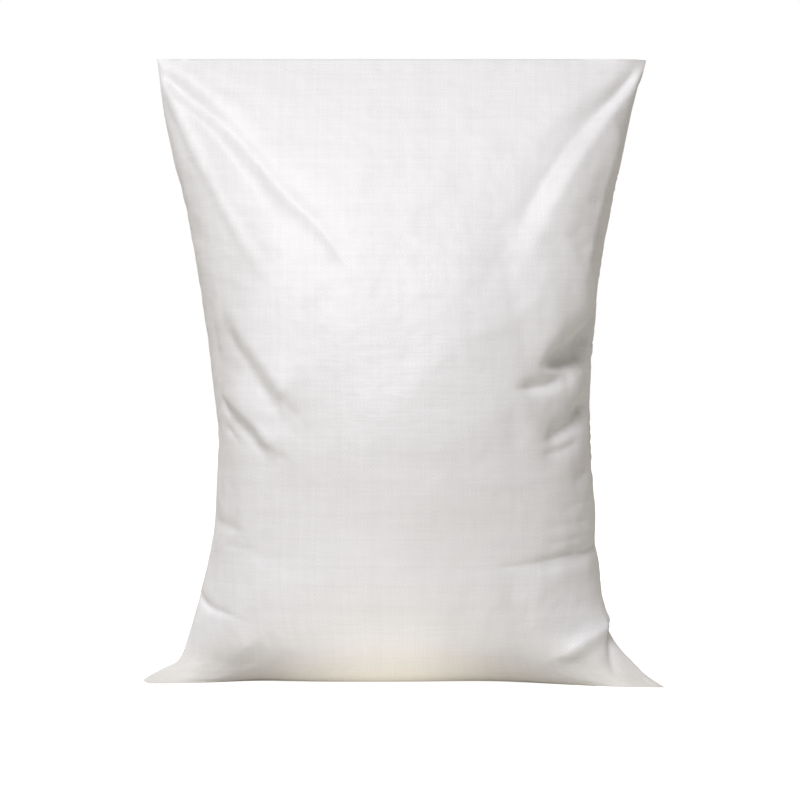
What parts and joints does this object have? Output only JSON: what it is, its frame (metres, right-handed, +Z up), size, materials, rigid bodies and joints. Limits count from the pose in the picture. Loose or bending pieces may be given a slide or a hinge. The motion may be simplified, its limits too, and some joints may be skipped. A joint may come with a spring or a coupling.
{
  "type": "filled woven sack of sugar",
  "caption": "Filled white woven plastic sack of sugar standing upright, with a flat top seam, a full belly, gathered sides and flat pointed bottom corners.",
  "frame": {"origin": "middle of the bottom of the bounding box, on the floor under the sack", "axes": "+Z up, +X across the sack along its seams, -Y the front of the sack"},
  "size_m": [0.6, 0.3021, 0.742],
  "materials": {
    "woven_cloth": "off-white woven plastic tape with a soft satin sheen"
  },
  "bodies": {
    "root": {"sack": "woven_cloth"}
  },
  "joints": []
}
